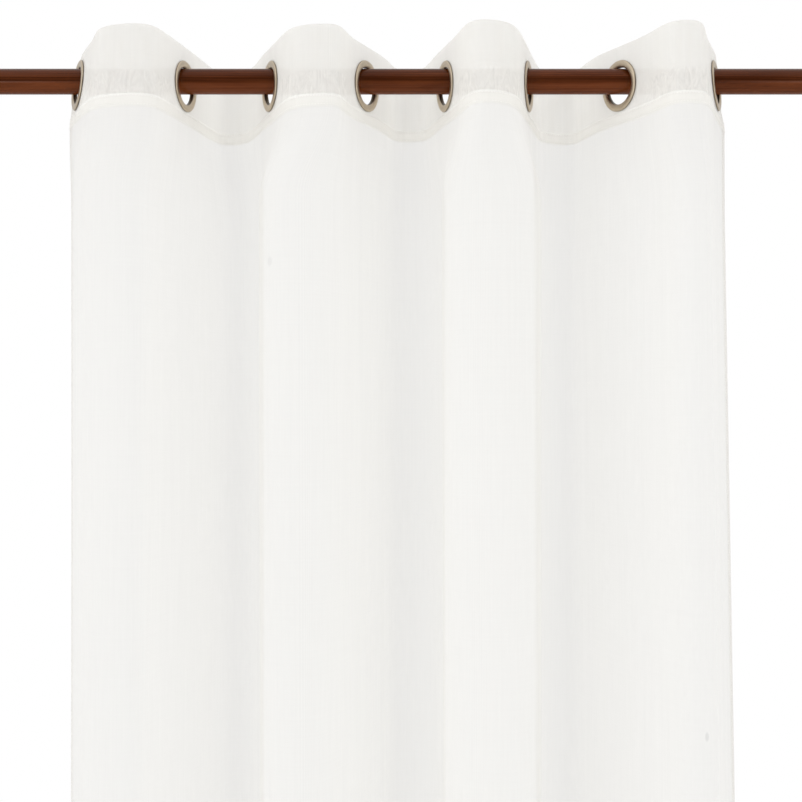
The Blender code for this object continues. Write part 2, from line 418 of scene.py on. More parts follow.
class CurtainVoile(bpy.types.PropertyGroup):
    colour: FloatVectorProperty(
        name="Thread colour",
        description="Colour of the voile's yarn",
        subtype="COLOR",
        size=3,
        min=0,
        max=1,
        default=(0.998, 0.991, 0.969),
    )
    coverage: FloatProperty(
        name="Coverage",
        description="Share of one layer that its threads cover",
        subtype="FACTOR",
        min=0,
        max=1,
        default=0.72,
    )
    lining: FloatVectorProperty(
        name="Lining colour",
        description="Colour of the fleece inside the heading",
        subtype="COLOR",
        size=3,
        min=0,
        max=1,
        default=(0.97, 0.96, 0.945),
    )
    lining_cover: FloatProperty(
        name="Lining cover",
        description="Share of the heading's fleece that its fibres cover",
        subtype="FACTOR",
        min=0,
        max=1,
        default=0.12,
    )
    glow: FloatProperty(
        name="Glow",
        description="Share of the threads' light that comes through them from behind",
        subtype="FACTOR",
        min=0,
        max=1,
        default=0.5,
    )
    # Painted glow: emission over the whole heading, standing in for light that passes to and fro
    # between its close layers.
    heading_painted_glow: FloatProperty(
        name="Heading's inner light",
        description="Light that passes to and fro between the heading's close layers",
        min=0,
        max=1,
        default=0.04,
    )
    # Painted glow: emission over the strip, brighter along its top line, standing in for light that
    # passes to and fro in its layers.
    strip_painted_glow: FloatProperty(
        name="Strip's inner light",
        description="Light that passes to and fro in the strip's three pressed layers",
        min=0,
        max=1,
        default=0.021,
    )
    slub: FloatProperty(
        name="Slubs",
        description="How much the two thick places in the yarn stand out",
        subtype="FACTOR",
        min=0,
        max=1,
        default=0.8,
    )
    # Painted shade: grey colour for the thick yarn, which looks darker against the light behind it.
    slub_painted_shade: FloatVectorProperty(
        name="Slub colour",
        description="Colour of the thick places in the yarn",
        subtype="COLOR",
        size=3,
        min=0,
        max=1,
        default=(0.62, 0.62, 0.62),
    )
    crease: FloatProperty(
        name="Crease height",
        description="Height of the soft creases that run down the cloth",
        unit="LENGTH",
        min=0,
        max=0.004,
        default=0.9 * MM,
    )
    seed: IntProperty(
        name="Crease seed", description="Which creases the cloth has", default=7
    )


class CurtainThread(bpy.types.PropertyGroup):
    colour: FloatVectorProperty(
        name="Thread colour",
        description="Colour of the sewing thread",
        subtype="COLOR",
        size=3,
        min=0,
        max=1,
        default=(0.98, 0.975, 0.96),
    )
    pitch: FloatProperty(
        name="Stitch pitch",
        description="Distance from one stitch to the next",
        unit="LENGTH",
        min=0.001,
        default=3.2 * MM,
    )
    length: FloatProperty(
        name="Stitch length",
        description="Length of one stitch that shows",
        unit="LENGTH",
        min=0.0005,
        default=2.5 * MM,
    )
    thickness: FloatProperty(
        name="Thread thickness",
        description="Thickness of the sewing thread",
        unit="LENGTH",
        min=0.0001,
        default=0.42 * MM,
    )


class CurtainEyelet(bpy.types.PropertyGroup):
    colour: FloatVectorProperty(
        name="Nickel colour",
        description="Colour of the brushed nickel",
        subtype="COLOR",
        size=3,
        min=0,
        max=1,
        default=(0.56, 0.47, 0.355),
    )
    # Painted dark reflection on the rim and painted shade inside the sleeve.
    rim_and_sleeve_painted_shade: FloatVectorProperty(
        name="Rim colour",
        description="Colour of the nickel in the rim and the sleeve, where the brushing stops",
        subtype="COLOR",
        size=3,
        min=0,
        max=1,
        default=(0.07, 0.050, 0.032),
    )
    roughness: FloatProperty(
        name="Roughness",
        description="How dull the brushed face is",
        subtype="FACTOR",
        min=0,
        max=1,
        default=0.34,
    )


class CurtainRod(bpy.types.PropertyGroup):
    light: FloatVectorProperty(
        name="Light grain",
        description="Stain colour in the light bands of the grain",
        subtype="COLOR",
        size=3,
        min=0,
        max=1,
        default=(0.168, 0.044, 0.0125),
    )
    dark: FloatVectorProperty(
        name="Dark grain",
        description="Stain colour in the dark bands of the grain",
        subtype="COLOR",
        size=3,
        min=0,
        max=1,
        default=(0.060, 0.012, 0.0015),
    )
    roughness: FloatProperty(
        name="Roughness",
        description="How dull the lacquer is",
        subtype="FACTOR",
        min=0,
        max=1,
        default=0.21,
    )


class CurtainStage(bpy.types.PropertyGroup):
    behind: FloatProperty(
        name="Light from behind",
        description="Strength of the soft light from the window side",
        min=0,
        default=0.766,
    )
    front: FloatProperty(
        name="Light from the front",
        description="Strength of the soft light from straight ahead of the curtain",
        min=0,
        default=0.60,
    )
    reflected: FloatProperty(
        name="Front as reflected",
        description="How bright the room ahead of the curtain looks in the lacquer and the metal",
        min=0,
        default=0.12,
    )
    left: FloatProperty(
        name="Light from the left",
        description="Strength of the soft light from the room's left",
        min=0,
        default=1.305,
    )
    right: FloatProperty(
        name="Light from the right",
        description="Strength of the soft light from the room's right",
        min=0,
        default=1.096,
    )
    above: FloatProperty(
        name="Light from above",
        description="Strength of the soft light from overhead",
        min=0,
        default=1.0,
    )
    floor_radius: FloatProperty(
        name="Floor radius",
        description="Radius of the pale floor",
        unit="LENGTH",
        min=1,
        default=4.1,
    )


# Cloth shape.


def side(index):
    """-1 where the fold after this crossing lies before the rod, and 1 where it lies behind."""
    return -1 if index % 2 == 0 else 1


def direction(yaw, index):
    """The cloth's way in plan at a crossing, from its yaw in degrees."""
    turn = math.radians(yaw)
    return np.array((math.cos(turn), side(index) * math.sin(turn)))


def straight_line(start, end, steps):
    return mix(start, end, np.linspace(0, 1, steps + 1)[:, None])


def half_fold(foot, way, apex, fullness):
    """Points in plan from a crossing's straight stretch, which runs along way, to an apex."""
    reach = (apex[1] - foot[1]) / way[1]
    leave = foot + way * (fullness * reach)
    arrive = np.array((mix(apex[0], foot[0], fullness), apex[1]))
    share = np.linspace(0, 1, HALF_FOLD_STEPS + 1)[:, None]
    rest = 1 - share
    curved = leave * (3 * rest**2 * share) + arrive * (3 * rest * share**2)
    return foot * rest**3 + curved + apex * share**3


def plan_line(crossings, folds, crossing_xs):
    """The cloth's middle line in plan, from its left edge to its right edge."""
    ways = [direction(crossing.yaw, index) for index, crossing in enumerate(crossings)]
    starts = [np.array((x, 0.0)) - way * STRAIGHT for x, way in zip(crossing_xs, ways)]
    ends = [np.array((x, 0.0)) + way * STRAIGHT for x, way in zip(crossing_xs, ways)]
    margin = SIDE_ALLOWANCE - STRAIGHT
    left_edge = starts[0] - direction(LEFT_END_YAW, 0) * margin
    right_edge = ends[-1] + direction(RIGHT_END_YAW, len(folds)) * margin
    lines = [straight_line(left_edge, starts[0], MARGIN_STEPS)]
    for index, (start, end) in enumerate(zip(starts, ends)):
        lines.append(straight_line(start, end, STRAIGHT_STEPS)[1:])
        if index < len(folds):
            fold = folds[index]
            apex = np.array((fold.apex, side(index) * fold.depth))
            lines.append(half_fold(end, ways[index], apex, fold.left)[1:])
            falling = half_fold(starts[index + 1], ways[index + 1], apex, fold.right)
            lines.append(falling[-2::-1])
    lines.append(straight_line(ends[-1], right_edge, MARGIN_STEPS)[1:])
    return np.concatenate(lines)


def cloth_plan(z):
    """The cloth's plan at one height: the heading's wave, then the body's, then the hem's."""
    head_z = max(z, HEADING_FOOT_Z)
    leaning = [e.x + math.tan(math.radians(e.lean)) * (head_z + e.drop) for e in EYELETS]
    head = plan_line(EYELETS, HEADING_FOLDS, leaning)
    body = plan_line(BODY_CROSSINGS, BODY_FOLDS, [crossing.x for crossing in BODY_CROSSINGS])
    hem = plan_line(HEM_CROSSINGS, HEM_FOLDS, [crossing.x for crossing in HEM_CROSSINGS])
    if z > BODY_Z:
        return mix(head, body, smooth((head_z - z) / (HEADING_FOOT_Z - BODY_Z)))
    return mix(body, hem, (BODY_Z - z) / (BODY_Z - HEM_Z))


def lengths_along(points):
    steps = np.linalg.norm(np.diff(points, axis=0), axis=1)
    return np.concatenate(([0.0], np.cumsum(steps)))


def outward(points):
    """Unit normals of a plan line, towards the room side."""
    way = np.gradient(points, axis=0)
    way /= np.linalg.norm(way, axis=1)[:, None]
    return np.stack((way[:, 1], -way[:, 0]), axis=1)


class Cloth:
    """The hanging sheet: where each of its columns lies at any height and in any layer."""

    def __init__(self, crease, seed):
        self.along = lengths_along(cloth_plan(HEADING_FOOT_Z))
        self.crease = crease
        self.columns = len(self.along)
        self.calm = self.calm_columns()
        self.corner = 1 - smooth((self.along - CORNER_START) / (CORNER_END - CORNER_START))
        margin = SIDE_ALLOWANCE - STRAIGHT
        self.curl = smooth((self.along - self.along[-1]) / margin + 1)
        chance = np.random.default_rng(seed)
        self.middles = chance.uniform(0, self.along[-1], CREASES)
        self.widths = chance.uniform(*CREASE_WIDTHS, CREASES)
        self.heights = chance.normal(0, 1, CREASES)
        self.levels = chance.uniform(HEM_Z - 0.2, TOP_Z, CREASES)
        self.reaches = chance.uniform(*CREASE_REACHES, CREASES)
        self.slants = chance.normal(0, CREASE_SLANT, CREASES)

    def calm_columns(self):
        """0 across each eyelet, where its halves hold the cloth flat, and 1 in the folds."""
        calm = np.ones(self.columns)
        for index in range(len(EYELETS)):
            start = MARGIN_STEPS + index * (STRAIGHT_STEPS + 2 * HALF_FOLD_STEPS)
            middle = self.along[start + STRAIGHT_STEPS // 2]
            calm *= smooth((np.abs(self.along - middle) - CALM_HALF) / CALM_FADE)
        return calm

    def creases(self, z):
        height = np.zeros(self.columns)
        for ridge in range(CREASES):
            above = (z - self.levels[ridge]) / self.reaches[ridge]
            middle = self.middles[ridge] + self.slants[ridge] * (z - self.levels[ridge])
            across = (self.along - middle) / self.widths[ridge]
            height += self.heights[ridge] * math.exp(-above * above) * np.exp(-across * across)
        flat = mix(1.0, self.calm, smooth((z - CALM_Z) / CALM_RISE))
        return height * self.crease * flat

    def plan(self, z):
        """The plan at one height, with its folds' turns softened and its top corner turned in."""
        points = cloth_plan(z)
        for _ in range(SOFTENING):
            halfway = (points[:-2] + points[2:]) / 2
            points[1:-1] += (halfway - points[1:-1]) * self.calm[1:-1, None] * 0.5
        points[:, 0] += self.corner * CORNER_TURN * smooth((z - CORNER_Z) / (TOP_Z - CORNER_Z))
        points[:, 0] -= self.curl * CURL * smooth((z - CURL_LOW_Z) / (CURL_HIGH_Z - CURL_LOW_Z))
        return points

    def row(self, z, layer):
        """The sheet's points at one height, as an array of (x, y, z)."""
        points = self.plan(z)
        out = outward(points)
        moved = points + out * (layer + self.creases(z))[:, None]
        return np.column_stack((moved, np.full(len(moved), z)))


def bend(z, below, start_layer, end_layer):
    """Rows of (height, layer) round a fold in the cloth, from one layer to another."""
    middle = (start_layer + end_layer) / 2
    radius = (end_layer - start_layer) / 2
    turned = []
    for step in range(1, BEND_STEPS):
        angle = math.pi * step / BEND_STEPS
        drop = -abs(radius) if below else abs(radius)
        turned.append((z + drop * math.sin(angle), middle - radius * math.cos(angle)))
    return turned


def levels(top, foot, count):
    return list(np.linspace(top, foot, count + 1))


def hanging_levels():
    """Heights of the sheet's rows from its top edge to its hem, close together at its edges."""
    stretches = (
        (TOP_Z, STRIP_TOP_Z + SWELL_SLOPE, HEADING_ROWS),
        (STRIP_TOP_Z + SWELL_SLOPE, STRIP_TOP_Z - SWELL_SLOPE, SLOPE_ROWS),
        (STRIP_TOP_Z - SWELL_SLOPE, HEADING_FOOT_Z + SWELL_SLOPE, 3),
        (HEADING_FOOT_Z + SWELL_SLOPE, HEADING_FOOT_Z - SWELL_SLOPE, SLOPE_ROWS),
        (HEADING_FOOT_Z - SWELL_SLOPE, BODY_Z, UPPER_ROWS),
        (BODY_Z, HEM_Z, LOWER_ROWS),
    )
    heights = [TOP_Z]
    for top, foot, count in stretches:
        heights += levels(top, foot, count)[1:]
    return heights


def swell(z):
    """How far the face stands out over the tucked edge, whose three layers are thicker."""
    above = smooth((STRIP_TOP_Z + SWELL_SLOPE / 2 - z) / SWELL_SLOPE)
    below = smooth((z - HEADING_FOOT_Z + SWELL_SLOPE) / (2 * SWELL_SLOPE))
    return SWELL * above * below


def ribbon_rows():
    """(height, layer) from the heading's tucked edge over the top edge and down to the hem's."""
    tuck = levels(STRIP_TOP_Z, HEADING_FOOT_Z, 4)
    facing = levels(HEADING_FOOT_Z, TOP_Z, HEADING_ROWS)
    rows = [(z, TUCKED_LAYER) for z in tuck]
    rows += bend(HEADING_FOOT_Z, True, TUCKED_LAYER, BACK_LAYER)
    rows += [(z, BACK_LAYER) for z in facing]
    rows += bend(TOP_Z, False, BACK_LAYER, FACE_LAYER)
    rows += [(z, FACE_LAYER + swell(z)) for z in hanging_levels()]
    rows += bend(HEM_Z, True, FACE_LAYER, BACK_LAYER)
    rows += [(z, BACK_LAYER) for z in levels(HEM_Z, HEM_TOP_Z, 6)]
    rows += bend(HEM_TOP_Z, False, BACK_LAYER, TUCKED_LAYER)
    rows += [(z, TUCKED_LAYER) for z in levels(HEM_TOP_Z, HEM_TOP_Z - HEM_TUCK, 3)]
    return rows


def side_hem_points(cloth, z, edge, inner):
    """One row of a side hem: round the edge, inwards, and back out in the tucked layer."""
    face = cloth.row(z, FACE_LAYER + swell(z))
    back = cloth.row(z, SIDE_BACK_LAYER)
    tucked = cloth.row(z, SIDE_TUCKED_LAYER)
    step = 1 if inner > edge else -1
    columns = list(range(edge, inner + step, step))
    turn = face[edge] - face[edge + step]
    turn /= np.linalg.norm(turn)
    outer_turn = turn * (FACE_LAYER - SIDE_BACK_LAYER) / 2
    points = [face[edge], mix(face[edge], back[edge], 0.5) + outer_turn]
    points += [back[column] for column in columns]
    inner_turn = -turn * (SIDE_TUCKED_LAYER - SIDE_BACK_LAYER) / 2
    points.append(mix(back[inner], tucked[inner], 0.5) + inner_turn)
    points += [tucked[column] for column in columns[::-1][:-1]]
    return np.array(points)


def grid_faces(rows, columns, first=0, flipped=False):
    """Quads of a grid of vertices that is stored row after row."""
    row, column = np.meshgrid(np.arange(rows - 1), np.arange(columns - 1), indexing="ij")
    corner = (first + row * columns + column).ravel()
    faces = np.stack((corner, corner + 1, corner + columns + 1, corner + columns), axis=1)
    return faces[:, ::-1] if flipped else faces


def eyelet_matrix(index):
    """Across, up and out of the cloth's room side, at an eyelet's middle."""
    crossing = EYELETS[index]
    across = Vector((*direction(crossing.yaw, index), 0.0))
    up = Vector((math.tan(math.radians(crossing.lean)), 0.0, 1.0))
    up = (up - across * up.dot(across)).normalized()
    turn = Matrix((across, up, across.cross(up))).transposed().to_4x4()
    return Matrix.Translation((crossing.x, 0.0, -crossing.drop)) @ turn


def cut_holes(points, faces):
    """Leaves out the faces inside the eyelets and rounds the holes' edges."""
    inside = np.zeros(len(points), dtype=bool)
    for index in range(len(EYELETS)):
        matrix = np.array(eyelet_matrix(index))
        local = (points - matrix[:3, 3]) @ matrix[:3, :3]
        radius = np.hypot(local[:, 0], local[:, 1])
        near = np.abs(local[:, 2]) < HOLE_DEPTH
        within = near & (radius < HOLE_RADIUS)
        touched = np.zeros(len(points), dtype=bool)
        touched[faces[within[faces].any(axis=1)]] = True
        edge = touched & ~within
        local[edge, :2] *= (HOLE_RADIUS / radius[edge])[:, None]
        points[edge] = local[edge] @ matrix[:3, :3].T + matrix[:3, 3]
        inside |= within
    return faces[~inside[faces].any(axis=1)]


def mesh_from(name, points, faces, uvs=None):
    """A mesh of the vertices that its faces use, smooth, with an optional map."""
    used = np.unique(faces)
    renumber = np.full(len(points), -1)
    renumber[used] = np.arange(len(used))
    faces = renumber[faces]
    mesh = bpy.data.meshes.new(name)
    mesh.from_pydata(points[used].tolist(), [], faces.tolist())
    if uvs is not None:
        layer = mesh.uv_layers.new(name="cloth")
        layer.data.foreach_set("uv", uvs[used][faces.ravel()].astype(np.float32).ravel())
    mesh.shade_smooth()
    return mesh


def closed_mesh(mesh, distance):
    """Joins vertices that lie on each other."""
    bm = bmesh.new()
    bm.from_mesh(mesh)
    bmesh.ops.remove_doubles(bm, verts=bm.verts, dist=distance)
    bm.to_mesh(mesh)
    bm.free()
    return mesh


def new_piece(name, mesh, material):
    piece = bpy.data.objects.new(name, mesh)
    bpy.context.collection.objects.link(piece)
    mesh.materials.clear()
    mesh.materials.append(material)
    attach(piece, BODY)
    return piece


def voile_mesh(cloth):
    rows = ribbon_rows()
    points = [cloth.row(z, layer) for z, layer in rows]
    down = lengths_along(np.array(rows))
    uvs = [np.column_stack((cloth.along, np.full(cloth.columns, v))) for v in down]
    points, uvs = [np.concatenate(points)], [np.concatenate(uvs)]
    faces = [grid_faces(len(rows), cloth.columns, flipped=True)]
    heights = hanging_levels()
    last = cloth.columns - 1
    for edge, inner, flipped in ((0, MARGIN_STEPS, False), (last, last - MARGIN_STEPS, True)):
        hem = [side_hem_points(cloth, z, edge, inner) for z in heights]
        count = len(hem[0])
        first = sum(len(part) for part in points)
        points.append(np.concatenate(hem))
        across = lengths_along(hem[0])
        across = cloth.along[edge] + (across if flipped else -across)
        uvs += [np.column_stack((across, np.full(count, TOP_Z - z))) for z in heights]
        faces.append(grid_faces(len(heights), count, first, flipped))
    points, uvs, faces = (np.concatenate(part) for part in (points, uvs, faces))
    faces = cut_holes(points, faces)
    return closed_mesh(mesh_from("voile_panel", points, faces, uvs), 0.01 * MM)


def voile_material(look):
    """Sheer plain weave: fine threads with gaps between, uneven yarn, a soft glow, and painted glow
    (emission) over the heading, stronger in its strip and along the strip's top line.
    """
    made, tree = new_material("sheer_voile")
    made.cycles.emission_sampling = "NONE"
    place = tree.add("ShaderNodeUVMap", {"uv_map": "cloth"})
    across, along, _ = tree.axes(place)
    warp = tree.maths("SINE", across * (2 * math.pi / WARP_PITCH))
    weft = tree.maths("SINE", along * (2 * math.pi / WEFT_PITCH))
    threads = tree.maths("MAXIMUM", warp, weft)
    upright = tree.noise(place, (420.0, 9.0, 1.0), detail=3.0, roughness=0.6)
    level = tree.noise(place, (7.0, 520.0, 1.0), detail=3.0, roughness=0.6)
    soft = tree.noise(place, (45.0, 3.0, 1.0), detail=2.0)
    uneven = (upright - 0.5) * 0.04 + (level - 0.5) * 0.02 + (soft - 0.5) * 0.07
    shade = tree.band(uneven, -0.05, 0.05)
    thin = tuple(channel * 0.993 for channel in look.colour)
    colour = tree.between(shade, four(thin), four(look.colour))
    # The thick places are real; their grey is painted shade, for the light from behind that the thick
    # yarn holds back.
    slub = 0.0
    for mark in SLUBS:
        sideways = (across - mark.along) / mark.half_width
        lengthwise = (along - (FACE_START + mark.down)) / mark.half_height
        inside = 1 - tree.band(sideways * sideways + lengthwise * lengthwise, 0.1, 1.2)
        slub = inside * mark.strength + slub
    colour = tree.between(slub * look.slub, colour, four(look.slub_painted_shade))
    _, deep, up = tree.axes(tree.add("ShaderNodeTexCoord", output=3))
    strip = tree.level_band(up, HEADING_FOOT_Z, STRIP_TOP_Z, SOFT_EDGE)
    edge = tree.level_band(up, STRIP_TOP_Z - STRIP_EDGE, STRIP_TOP_Z, SOFT_EDGE)
    foot = tree.level_band(up, HEADING_FOOT_Z, HEADING_FOOT_Z + STRIP_FOOT, SOFT_EDGE)
    dense = strip * 0.06 + edge * 0.3 + foot * 0.12
    heading = tree.band(up, HEADING_FOOT_Z - SOFT_EDGE, HEADING_FOOT_Z + SOFT_EDGE)
    rumple = tree.noise(place, (110.0, 50.0, 1.0), detail=3.0, roughness=0.6, distortion=1.2)
    forward = tree.band(deep * -1.0, RUBBED_START, RUBBED_FULL)
    rubbed = tree.level_band(up, RUBBED_LOW_Z, RUBBED_HIGH_Z, RUBBED_SOFT) * forward
    coverage = threads * 0.02 + uneven + look.coverage + rubbed * (rumple - 0.5) * 0.42
    # Painted glow: emission in the thread colour over the heading, stronger in the strip and along its
    # top line.
    pressed = heading * look.heading_painted_glow + (strip + edge * 0.8) * look.strip_painted_glow
    height = threads * 0.4 + upright * 0.35 + level * 0.2
    relief = tree.add(
        "ShaderNodeBump", None, {"Strength": 0.18, "Distance": 0.12 * MM, "Height": height}
    )
    yarn = tree.add(
        "ShaderNodeBsdfPrincipled",
        None,
        {
            "Base Color": colour,
            "Roughness": 0.88,
            "Specular IOR Level": 0.18,
            "Sheen Weight": 0.05,
            "Sheen Roughness": 0.45,
            "Emission Color": tree.between(pressed, (0, 0, 0, 1), four(look.colour)),
            "Emission Strength": 1.0,
            "Normal": relief,
        },
    )
    glow = {"Color": four(look.colour), "Normal": relief}
    lit = tree.add("ShaderNodeBsdfTranslucent", None, glow)
    threads_lit = tree.add("ShaderNodeMixShader", None, {0: look.glow - dense, 1: yarn, 2: lit})
    gaps = tree.add("ShaderNodeBsdfTransparent", None, {"Color": (1, 1, 1, 1)})
    woven = tree.add("ShaderNodeMixShader", None, {0: coverage, 1: gaps, 2: threads_lit})
    tree.add("ShaderNodeOutputMaterial", None, {"Surface": woven})
    return made


# Thread.


def open_tree(name, inputs, result):
    """A new Geometry Nodes tree, its inputs' values and their identifiers, by name."""
    group = bpy.data.node_groups.new(name, "GeometryNodeTree")
    face = group.interface
    for title, kind in inputs.items():
        face.new_socket(name=title, in_out="INPUT", socket_type=kind)
    face.new_socket(name=result, in_out="OUTPUT", socket_type="NodeSocketGeometry")
    tree = Tree(group)
    given = group.nodes.new("NodeGroupInput")
    values = {title: Socket(tree, given.outputs[title]) for title in inputs}
    return tree, values, {title: given.outputs[title].identifier for title in inputs}


def close_tree(tree, geometry, material):
    """Gives the geometry its material and makes it the tree's result."""
    values = {"Geometry": geometry, "Material": material}
    finished = tree.add("GeometryNodeSetMaterial", None, values)
    result = tree.tree.nodes.new("NodeGroupOutput")
    tree.tree.links.new(finished.socket, result.inputs[0])
    return tree.tree


def stitch_tree():
    """Lays short stitches along the edges that it is given."""
    inputs = {
        "Seams": "NodeSocketGeometry",
        "Pitch": "NodeSocketFloat",
        "Stitch length": "NodeSocketFloat",
        "Thickness": "NodeSocketFloat",
        "Seed": "NodeSocketInt",
        "Material": "NodeSocketMaterial",
    }
    tree, value, identifiers = open_tree("stitches_along_seams", inputs, "Stitches")
    seams = tree.add("GeometryNodeMeshToCurve", None, {"Mesh": value["Seams"]})
    points = tree.add(
        "GeometryNodeResampleCurve",
        {"mode": "LENGTH"},
        {"Curve": seams, "Length": value["Pitch"]},
    )
    lump = tree.add(
        "GeometryNodeMeshUVSphere", None, {"Segments": 6, "Rings": 4, "Radius": 0.5}
    )
    size = tree.joined(value["Thickness"], value["Thickness"], value["Stitch length"])
    stitch = tree.add("GeometryNodeTransform", None, {"Geometry": lump, "Scale": size})
    tangent = tree.add("GeometryNodeInputTangent")
    turn = tree.add("FunctionNodeAlignRotationToVector", {"axis": "Z"}, {"Vector": tangent})
    spread = tree.add(
        "FunctionNodeRandomValue",
        {"data_type": "FLOAT"},
        {2: LEAST_SIZE, 3: GREATEST_SIZE, "Seed": value["Seed"]},
        output=1,
    )
    laid = tree.add(
        "GeometryNodeInstanceOnPoints",
        None,
        {"Points": points, "Instance": stitch, "Rotation": turn, "Scale": spread},
    )
    real = tree.add("GeometryNodeRealizeInstances", None, {"Geometry": laid})
    rounded = tree.add("GeometryNodeSetShadeSmooth", None, {"Geometry": real})
    return close_tree(tree, rounded, value["Material"]), identifiers


def grown_mesh(name, mesh, group, settings):
    """The plain mesh that a Geometry Nodes tree makes of a mesh."""
    carrier = bpy.data.objects.new(name, mesh)
    bpy.context.collection.objects.link(carrier)
    modifier = carrier.modifiers.new("grow", "NODES")
    modifier.node_group = group
    for identifier, value in settings.items():
        modifier[identifier] = value
    carrier.update_tag()
    depsgraph = bpy.context.evaluated_depsgraph_get()
    grown = bpy.data.meshes.new_from_object(carrier.evaluated_get(depsgraph), depsgraph=depsgraph)
    bpy.data.objects.remove(carrier, do_unlink=True)
    grown.name = name
    return grown


def seam_mesh(name, lines):
    mesh = bpy.data.meshes.new(name)
    points, edges = [], []
    for line in lines:
        first = len(points)
        points += [tuple(point) for point in line]
        edges += [(first + step, first + step + 1) for step in range(len(line) - 1)]
    mesh.from_pydata(points, edges, [])
    return mesh


def level_seams(cloth, z, thickness):
    """A row of stitches at one height, on the room side and on the back."""
    proud = STITCH_PROUD * thickness
    return [cloth.row(z, FACE_LAYER + swell(z) + proud), cloth.row(z, BACK_LAYER - proud)]


def side_seams(cloth, thickness):
    """Stitches down both side hems, near their inner fold, on both faces."""
    proud = STITCH_PROUD * thickness
    lines = []
    last = cloth.columns - 1
    for inner, outwards in ((MARGIN_STEPS, -1), (last - MARGIN_STEPS, 1)):
        for layer in (FACE_LAYER + proud, SIDE_BACK_LAYER - proud):
            rows = [cloth.row(z, layer) for z in hanging_levels()]
            outer = inner + outwards
            lines.append([mix(row[inner], row[outer], SIDE_STITCH_SHARE) for row in rows])
    return lines


def lining_mesh(cloth):
    """The stiffener between the heading's two layers, above the tucked edge."""
    heights = levels(TOP_Z - LINING_GAP, STRIP_TOP_Z + LINING_GAP, LINING_ROWS)
    rows = [cloth.row(z, LINING_LAYER) for z in heights]
    uvs = [np.column_stack((cloth.along, np.full(cloth.columns, TOP_Z - z))) for z in heights]
    points = np.concatenate(rows)
    faces = cut_holes(points, grid_faces(len(rows), cloth.columns, flipped=True))
    return mesh_from("heading_lining", points, faces, np.concatenate(uvs))


def lining_material(look):
    """Thin bonded fleece that stiffens the heading."""
    made, tree = new_material("heading_fleece")
    place = tree.add("ShaderNodeUVMap", {"uv_map": "cloth"})
    fibres = tree.noise(place, (900.0, 900.0, 1.0), detail=3.0, roughness=0.7)
    streaks = tree.noise(place, (170.0, 26.0, 1.0), detail=3.0, roughness=0.6, distortion=0.8)
    lit = tree.add("ShaderNodeBsdfTranslucent", None, {"Color": four(look.lining)})
    gaps = tree.add("ShaderNodeBsdfTransparent", None, {"Color": (1, 1, 1, 1)})
    cover = (fibres - 0.5) * 0.1 + (streaks - 0.5) * 2.0 + look.lining_cover
    woven = tree.add("ShaderNodeMixShader", None, {0: cover, 1: gaps, 2: lit})
    tree.add("ShaderNodeOutputMaterial", None, {"Surface": woven})
    return made


def thread_material(look):
    """Twisted polyester sewing thread."""
    made, tree = new_material("sewing_thread")
    place = tree.add("ShaderNodeTexCoord", output=3)
    ply = tree.noise(place, (2600.0, 2600.0, 2600.0), detail=1.0)
    dark = tuple(channel * 0.9 for channel in look.colour)
    colour = tree.between(tree.band(ply, 0.35, 0.65), four(dark), four(look.colour))
    relief = tree.add(
        "ShaderNodeBump", None, {"Strength": 0.3, "Distance": 0.05 * MM, "Height": ply}
    )
    thread = tree.add(
        "ShaderNodeBsdfPrincipled",
        None,
        {"Base Color": colour, "Roughness": 0.55, "Sheen Weight": 0.3, "Normal": relief},
    )
    tree.add("ShaderNodeOutputMaterial", None, {"Surface": thread})
    return made


# Eyelets.


def turned_mesh(name, outlines, sides, axis_map):
    """Outlines of (radius, height) turned once round, each point with its turn and radius."""
    points, faces, turning = [], [], []
    for outline, closed in outlines:
        first = len(points)
        count = len(outline)
        for step in range(sides):
            angle = 2 * math.pi * step / sides
            cosine, sine = math.cos(angle), math.sin(angle)
            for radius, height in outline:
                points.append(axis_map(radius * cosine, radius * sine, height))
                turning.append((cosine, sine, radius))
        for step in range(sides):
            near = first + step * count
            far = first + (step + 1) % sides * count
            for index in range(count if closed else count - 1):
                after = (index + 1) % count
                faces.append([near + index, far + index, far + after, near + after])
    mesh = bpy.data.meshes.new(name)
    mesh.from_pydata(points, [], faces)
    layer = mesh.attributes.new("turning", "FLOAT_VECTOR", "POINT")
    layer.data.foreach_set("vector", np.array(turning, dtype=np.float32).ravel())
    bm = bmesh.new()
    bm.from_mesh(mesh)
    bmesh.ops.remove_doubles(bm, verts=bm.verts, dist=JOIN_DISTANCE)
    bmesh.ops.dissolve_degenerate(bm, edges=bm.edges, dist=JOIN_DISTANCE)
    bmesh.ops.recalc_face_normals(bm, faces=bm.faces)
    bm.to_mesh(mesh)
    bm.free()
    mesh.shade_smooth()
    return mesh


def ring_mesh():
    halves = []
    for half in (FRONT_HALF, BACK_HALF):
        halves.append(([(p.radius * MM, p.height * MM) for p in half], True))
    return turned_mesh("eyelet_ring", halves, RING_SIDES, lambda x, y, z: (x, y, z))


def ring_tree():
    """Puts a copy of the ring at each point, turned as the point's own angles say."""
    inputs = {
        "Crossings": "NodeSocketGeometry",
        "Ring": "NodeSocketObject",
        "Material": "NodeSocketMaterial",
    }
    tree, value, identifiers = open_tree("rings_on_crossings", inputs, "Rings")
    ring = tree.add("GeometryNodeObjectInfo", None, {"Object": value["Ring"]}, output=4)
    kind = {"data_type": "FLOAT_VECTOR"}
    angles = tree.add("GeometryNodeInputNamedAttribute", kind, {"Name": "angles"})
    placed = tree.add(
        "GeometryNodeInstanceOnPoints",
        None,
        {"Points": value["Crossings"], "Instance": ring, "Rotation": angles},
    )
    real = tree.add("GeometryNodeRealizeInstances", None, {"Geometry": placed})
    return close_tree(tree, real, value["Material"]), identifiers


